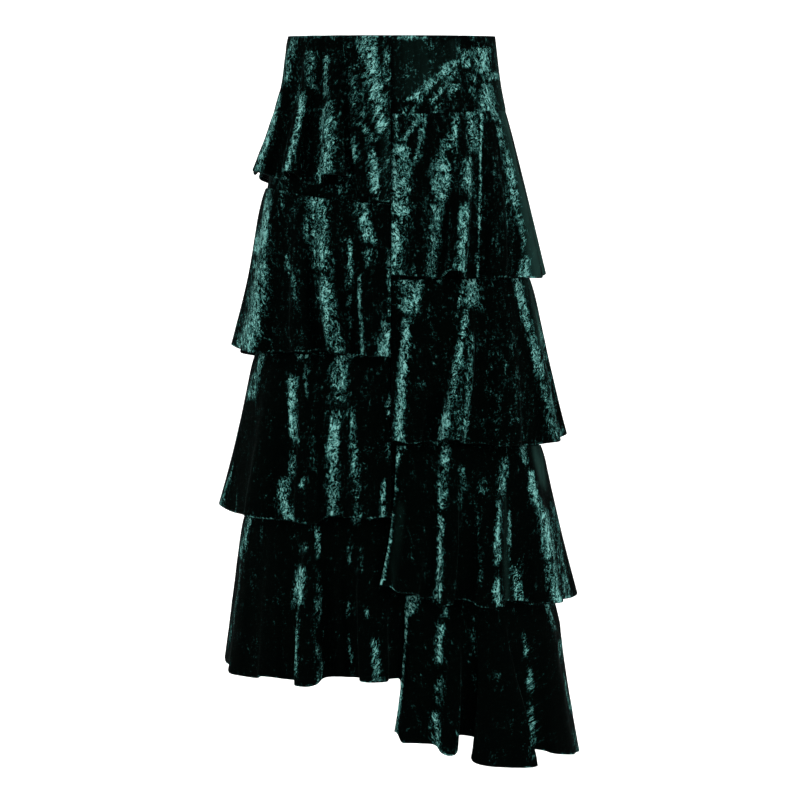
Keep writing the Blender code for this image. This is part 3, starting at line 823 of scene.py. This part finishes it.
STREAKS = {
    ("left", 1): (
        Streak(0, 0.42, 129, 136, 140, 13, 12, 0.75),
        Streak(0.4, 1, 146, 161, 177, 8, 10, 1),
        Streak(0.08, 0.42, 107, 106, 107, 14, 16, 0.7),
        Streak(0.4, 1, 114, 123, 136, 8, 10, 1),
        Streak(0.3, 0.66, 122, 123, 132, 4, 4, 0.55),
        Streak(0.1, 0.47, 85, 85, 83, 8, 10, 0.85),
        Streak(0.45, 1, 82, 83, 85, 20, 25, 0.9),
        Streak(0.1, 0.56, 62, 50, 51, 9, 13, 0.62),
        Streak(0.52, 0.68, 51, 34, 24, 13, 13, 0.8),
        Streak(0, 0.62, 33, 22, 10, 26, 21, 0.95),
        Streak(0.63, 0.85, 48, 48, 48, 9, 9, 0.85),
        Streak(0.7, 1, 26, 22, 21, 13, 16, 1),
        Streak(0.55, 1, 7, 8, 8, 8, 12, -0.2),
        Streak(0, 0.04, 90, 90, 90, 90, 84, 0.78),
        Streak(0.42, 1, 4, 6, 8, 12, 16, 0.5),
        Streak(0.08, 0.5, 6, 4, 3, 10, 8, 0.8),
        Streak(0.1, 0.6, 44, 40, 36, 16, 18, 0.5),
        Streak(0.02, 0.3, 60, 56, 52, 12, 14, 0.5),
        Streak(0.15, 0.6, 120, 124, 128, 12, 10, 0.35),
        Streak(0.62, 1, 66, 66, 62, 14, 14, 0.45),
    ),
    ("left", 2): (
        Streak(0, 0.45, 163, 167, 173, 9, 20, 1),
        Streak(0.42, 1, 171, 176, 194, 22, 34, 0.95),
        Streak(0.33, 0.78, 142, 130, 123, 16, 9, 0.55),
        Streak(0, 0.5, 96, 94, 86, 30, 26, 0.9),
        Streak(0.48, 1, 86, 81, 69, 24, 20, 0.85),
        Streak(0.22, 0.58, 53, 53, 55, 5, 13, 0.75),
        Streak(0.58, 0.85, 55, 55, 52, 8, 5, 0.55),
        Streak(0.45, 1, 40, 39, 34, 5, 7, 0.85),
        Streak(0, 0.3, 40, 33, 29, 18, 22, 0.85),
        Streak(0.27, 0.43, 29, 30, 30, 17, 8, 0.8),
        Streak(0.25, 0.78, 4, 3, 2, 7, 5, 0.8),
        Streak(0.74, 1, 6, 8, 10, 12, 16, 1),
        Streak(0, 0.12, 143, 143, 140, 24, 16, 0.4),
    ),
    ("left", 3): (
        Streak(0, 0.32, 172, 179, 189, 12, 14, 0.8),
        Streak(0.38, 0.6, 199, 203, 206, 4, 5, 0.9),
        Streak(0.68, 1, 213, 219, 225, 5, 8, 0.8),
        Streak(0.1, 0.56, 128, 128, 123, 14, 13, 1),
        Streak(0.58, 0.76, 127, 127, 128, 8, 12, 0.8),
        Streak(0.72, 1, 132, 139, 128, 13, 24, 1),
        Streak(0.7, 0.82, 108, 113, 120, 7, 8, 0.8),
        Streak(0.03, 0.28, 111, 110, 106, 7, 5, 0.7),
        Streak(0.42, 0.7, 103, 101, 101, 7, 8, 0.5),
        Streak(0, 0.06, 116, 116, 116, 21, 18, 0.9),
        Streak(0, 0.33, 62, 68, 69, 18, 26, 0.85),
        Streak(0.3, 1, 70, 75, 71, 20, 16, 0.9),
        Streak(0.3, 1, 53, 47, 40, 13, 12, 0.7),
        Streak(0.22, 0.43, 3, 3, 6, 8, 7, 0.85),
        Streak(0.5, 0.7, 6, 4, 4, 5, 7, 0.6),
        Streak(0.74, 1, 7, 11, 10, 7, 8, 0.85),
    ),
    ("left", 4): (
        Streak(0, 0.3, 188, 193, 199, 8, 8, 0.85),
        Streak(0.28, 0.92, 199, 207, 219, 5, 4, 0.65),
        Streak(0.12, 0.25, 108, 111, 114, 12, 8, 0.75),
        Streak(0.27, 0.57, 114, 118, 120, 16, 16, 1),
        Streak(0.55, 0.98, 118, 120, 120, 7, 5, 0.75),
        Streak(0.02, 0.26, 96, 95, 94, 9, 7, 0.75),
        Streak(0.27, 0.7, 96, 94, 99, 9, 9, 0.6),
        Streak(0.74, 1, 97, 92, 92, 5, 10, 0.7),
        Streak(0, 0.07, 44, 44, 42, 14, 12, 0.9),
        Streak(0.13, 0.35, 56, 53, 52, 7, 5, 0.7),
        Streak(0.16, 0.37, 38, 37, 37, 5, 4, 0.6),
        Streak(0.48, 0.67, 57, 56, 54, 7, 7, 0.6),
        Streak(0.7, 1, 56, 52, 48, 4, 7, 0.65),
        Streak(0.53, 0.63, 33, 30, 28, 9, 8, 0.85),
        Streak(0.7, 1, 24, 20, 15, 10, 12, 0.95),
    ),
    ("right", 1): (
        Streak(0, 0.2, 6, 7, 7, 7, 10, 0.8),
        Streak(0, 0.2, 40, 25, 11, 8, 13, 0.85),
        Streak(0, 0.35, 44, 38, 28, 7, 9, 0.85),
        Streak(0.16, 0.67, 12, 13, 13, 20, 31, 1),
        Streak(0.63, 1, 12, 8, 6, 26, 21, 0.9),
        Streak(0, 0.3, 85, 83, 82, 10, 10, 0.9),
        Streak(0.1, 0.36, 78, 70, 62, 18, 21, 0.75),
        Streak(0.27, 0.57, 65, 66, 62, 29, 22, 0.9),
        Streak(0.53, 1, 60, 56, 53, 17, 16, 0.85),
        Streak(0, 0.28, 107, 108, 107, 17, 17, 0.85),
        Streak(0.25, 0.55, 100, 99, 99, 16, 14, 0.9),
        Streak(0.55, 1, 96, 92, 88, 13, 18, 0.9),
        Streak(0, 1, 119, 116, 112, 4, 4, 0.95),
        Streak(0, 0.26, 135, 143, 150, 12, 9, 0.9),
        Streak(0.22, 0.62, 150, 159, 167, 12, 16, 0.95),
        Streak(0.57, 0.87, 168, 172, 174, 9, 9, 0.8),
        Streak(0.84, 1, 175, 175, 173, 13, 20, 0.95),
        Streak(0.4, 0.75, 147, 152, 154, 10, 10, 0.45),
        Streak(0, 1, 154, 178, 197, 16, 22, -1),
    ),
    ("right", 2): (
        Streak(0, 0.24, 24, 25, 25, 33, 21, 0.95),
        Streak(0.21, 1, 20, 15, 10, 12, 14, 1),
        Streak(0, 0.2, 104, 105, 104, 22, 22, 0.95),
        Streak(0.18, 1, 97, 83, 65, 9, 14, 0.95),
        Streak(0.3, 1, 104, 99, 94, 8, 10, 0.75),
        Streak(0.45, 1, 92, 86, 81, 13, 24, 0.5),
        Streak(0.04, 0.27, 92, 88, 84, 4, 4, 0.8),
        Streak(0, 0.34, 166, 174, 184, 14, 14, 0.95),
        Streak(0.32, 0.63, 184, 192, 200, 13, 14, 0.95),
        Streak(0.6, 1, 200, 212, 223, 17, 26, 0.75),
        Streak(0, 0.45, 183, 192, 204, 12, 10, -1),
        Streak(0.3, 1, 135, 137, 141, 29, 39, 0.3),
        Streak(0.25, 1, 200, 212, 226, 16, 20, 0.62),
        Streak(0.2, 0.9, 140, 150, 160, 50, 60, 0.32),
    ),
    ("right", 3): (
        Streak(0, 0.2, 13, 7, 6, 13, 8, 0.95),
        Streak(0.18, 1, 5, -2, -12, 8, 8, 1),
        Streak(0.4, 1, 13, 8, 1, 8, 10, -0.14),
        Streak(0, 0.45, 70, 68, 66, 12, 13, 0.9),
        Streak(0.08, 0.45, 90, 90, 86, 9, 8, 0.5),
        Streak(0.43, 1, 64, 64, 59, 9, 9, 0.95),
        Streak(0.2, 0.33, 118, 117, 116, 12, 10, 0.8),
        Streak(0.33, 0.9, 109, 113, 114, 5, 4, 0.5),
        Streak(0.05, 0.33, 148, 145, 142, 12, 12, 0.9),
        Streak(0.32, 0.76, 141, 136, 136, 9, 12, 0.9),
        Streak(0.78, 1, 136, 135, 138, 10, 12, 0.95),
        Streak(0.4, 0.77, 153, 152, 152, 5, 7, 0.75),
        Streak(0.74, 1, 156, 161, 164, 10, 17, 0.95),
        Streak(0.3, 1, 145, 146, 148, 7, 8, -0.4),
        Streak(0, 0.15, 174, 175, 178, 12, 9, 0.85),
        Streak(0.13, 0.43, 182, 187, 195, 10, 16, 0.9),
        Streak(0.38, 0.76, 196, 205, 210, 18, 24, 0.95),
        Streak(0.7, 1, 210, 211, 215, 16, 16, 0.95),
        Streak(0.68, 1, 225, 231, 235, 7, 7, 0.85),
        Streak(0, 0.3, 190, 198, 206, 12, 8, -0.8),
        Streak(0.35, 1, 214, 224, 232, 12, 16, 0.66),
        Streak(0.1, 0.4, 86, 92, 84, 10, 10, 0.7),
    ),
    ("right", 4): (
        Streak(0, 0.18, 27, 25, 20, 26, 5, 1),
        Streak(0.12, 1, 20, 15.5, 6, 4, 6, 0.95),
        Streak(0.03, 0.17, 73, 69, 65, 7, 9, 0.8),
        Streak(0.14, 0.48, 65, 61, 60, 10, 13, 1),
        Streak(0.51, 0.76, 62, 61, 58, 16, 12, 0.7),
        Streak(0.75, 1, 58, 57, 62, 12, 14, 0.95),
        Streak(0.68, 1, 87, 84, 82, 4, 5, 0.45),
        Streak(0.1, 0.45, 106, 106, 105, 7, 7, 0.6),
        Streak(0.5, 0.7, 105, 106, 108, 4, 4, 0.45),
        Streak(0.41, 0.51, 130, 130, 130, 9, 8, 0.6),
        Streak(0.18, 0.42, 173, 175, 178, 9, 7, 0.7),
        Streak(0.41, 0.63, 178, 180, 181, 8, 10, 0.9),
        Streak(0.64, 0.99, 180, 182, 184, 7, 12, 0.75),
        Streak(0, 0.2, 206, 212, 218, 10, 7, 0.8),
        Streak(0.21, 0.41, 222, 223, 227, 7, 5, 0.7),
        Streak(0.43, 0.76, 228, 235, 239, 5, 9, 0.8),
        Streak(0.78, 1, 241, 244, 247, 5, 7, 0.6),
    ),
}


def turns_of(tier, face):
    """The turns of one piece of a tier. The back has the other half's folds between the tier's own edges."""
    if face == "front":
        return tier.turns
    other = next(t for t in TIERS if t.number == tier.number and t.side != tier.side)
    centre_edge = tier.turns[0]._replace(place=0, lean=0)
    centre_edge = centre_edge._replace(**BACK_EDGES.get((tier.side, tier.number), {}))
    lift = BACK_LIFTS.get((tier.side, tier.number), 0.0)
    folds = tuple(turn._replace(drop=turn.drop - lift) for turn in other.turns[1:-1])
    row = (centre_edge,) + folds + (tier.turns[-1],)
    return tuple(turn._replace(place=180 - turn.place, lean=-turn.lean) for turn in reversed(row))


def tier_point(tier, turns, place, down):
    """The tier's middle surface. place counts turns from the piece's first edge, down runs to the hem."""
    first = min(int(place), len(turns) - 2)
    part = place - first
    here, after = turns[first], turns[first + 1]
    start = here.place + here.lean * (1 - down**2)
    end = after.place + after.lean * (1 - down**2)
    curl = max(here.curl, after.curl) * down
    angle = start + (end - start) * (part + curl * math.sin(2 * math.pi * part) / (2 * math.pi))
    across = (1 - math.cos(math.pi * part)) / 2
    out = here.out + (after.out - here.out) * across
    drop = here.drop + (after.drop - here.drop) * across
    top = waist_height(angle) if tier.top_side == 0 else level(tier.top_front, tier.top_side, angle)
    hem = level(tier.hem_front, tier.hem_side, angle) - drop
    height = top + (hem - top) * down
    off_base = (
        tier.puff * (1 - math.exp(-down / PUFF_REACH))
        + tier.flare * down**FLARE_POWER
        + (out - tier.puff - tier.flare) * down**FOLD_POWER
    )
    return on_body(tier.side, angle, height, LAYER_OUT + off_base, FREE_EDGE_GAP)


for tier in TIERS:
    own_streaks = STREAKS[tier.side, tier.number]
    other_streaks = STREAKS["right" if tier.side == "left" else "left", tier.number]
    for face in ("front", "back"):
        turns = turns_of(tier, face)
        folds = range(len(turns) - 1)
        places = [fold + step / COLUMNS_IN_A_FOLD for fold in folds for step in range(COLUMNS_IN_A_FOLD)]
        places.append(len(turns) - 1)
        cloth(
            f"tier_{tier.side}_{tier.number}_{face}",
            places,
            TIER_ROWS,
            lambda place, down, tier=tier, turns=turns: tier_point(tier, turns, place, down),
            own_streaks if face == "front" else other_streaks,
            crease=1.0,
            hem=HEM_TURN,
            side_streaks=own_streaks if face == "back" else None,
        )

# ---------------------------------------------------------------------------------------------------------
# The hem stitches: a run of dark thread along the inside of every tier's narrow turned-up hem, where the
# fold is caught down. From outside they sink in the pile.
# ---------------------------------------------------------------------------------------------------------
STITCH_PITCH = 0.0042
STITCH_LENGTH = 0.0028
THREAD = 0.0005
THREAD_TWISTS = 900

thread, thread_shader = plain_material("hem_thread", (0.006, 0.020, 0.017), 0.6)
twist = thread.node_tree.nodes.new("ShaderNodeTexWave")
twist.inputs["Scale"].default_value = THREAD_TWISTS
twist_place = thread.node_tree.nodes.new("ShaderNodeTexCoord")
thread.node_tree.links.new(twist_place.outputs["Object"], twist.inputs["Vector"])
twist_bump = thread.node_tree.nodes.new("ShaderNodeBump")
twist_bump.inputs["Distance"].default_value = 0.0001
thread.node_tree.links.new(twist.outputs["Fac"], twist_bump.inputs["Height"])
thread.node_tree.links.new(twist_bump.outputs["Normal"], thread_shader.inputs["Normal"])

stitching = bpy.data.node_groups.new("hem_stitching", "GeometryNodeTree")
stitching.interface.new_socket("Runs", in_out="INPUT", socket_type="NodeSocketGeometry")
for size in ("Pitch", "Length", "Thread"):
    stitching.interface.new_socket(size, in_out="INPUT", socket_type="NodeSocketFloat")
stitching.interface.new_socket("Stitches", in_out="OUTPUT", socket_type="NodeSocketGeometry")
nodes, links = stitching.nodes, stitching.links
entry = nodes.new("NodeGroupInput")
result = nodes.new("NodeGroupOutput")
as_curve = nodes.new("GeometryNodeMeshToCurve")
spaced = nodes.new("GeometryNodeCurveToPoints")
spaced.mode = "LENGTH"
along = nodes.new("FunctionNodeAlignRotationToVector")
along.axis = "Z"
stitch = nodes.new("GeometryNodeMeshCylinder")
stitch.inputs["Vertices"].default_value = 5
half_thread = nodes.new("ShaderNodeMath")
half_thread.operation = "MULTIPLY"
half_thread.inputs[1].default_value = 0.5
placed = nodes.new("GeometryNodeInstanceOnPoints")
realized = nodes.new("GeometryNodeRealizeInstances")
coloured = nodes.new("GeometryNodeSetMaterial")
coloured.inputs["Material"].default_value = thread
links.new(entry.outputs["Runs"], as_curve.inputs["Mesh"])
links.new(as_curve.outputs["Curve"], spaced.inputs["Curve"])
links.new(entry.outputs["Pitch"], spaced.inputs["Length"])
links.new(spaced.outputs["Tangent"], along.inputs["Vector"])
links.new(entry.outputs["Thread"], half_thread.inputs[0])
links.new(half_thread.outputs[0], stitch.inputs["Radius"])
links.new(entry.outputs["Length"], stitch.inputs["Depth"])
links.new(spaced.outputs["Points"], placed.inputs["Points"])
links.new(stitch.outputs["Mesh"], placed.inputs["Instance"])
links.new(along.outputs["Rotation"], placed.inputs["Rotation"])
links.new(placed.outputs["Instances"], realized.inputs["Geometry"])
links.new(realized.outputs["Geometry"], coloured.inputs["Geometry"])
links.new(coloured.outputs["Geometry"], result.inputs["Stitches"])

corners, edges = [], []
for run in hem_runs:
    edges += [(len(corners) + step, len(corners) + step + 1) for step in range(len(run) - 1)]
    corners += [tuple(corner) for corner in run]
run_mesh = bpy.data.meshes.new("hem_stitches")
run_mesh.from_pydata(corners, edges, [])
hem_stitches = bpy.data.objects.new("hem_stitches", run_mesh)
scene.collection.objects.link(hem_stitches)
sewn = hem_stitches.modifiers.new("stitching", "NODES")
sewn.node_group = stitching
sockets = {item.name: item.identifier for item in stitching.interface.items_tree}
sewn[sockets["Pitch"]] = STITCH_PITCH
sewn[sockets["Length"]] = STITCH_LENGTH
sewn[sockets["Thread"]] = THREAD
finished = hem_stitches.evaluated_get(bpy.context.evaluated_depsgraph_get())
stitch_mesh = bpy.data.meshes.new_from_object(finished)
hem_stitches.modifiers.clear()
hem_stitches.data = stitch_mesh
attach(hem_stitches, "root")
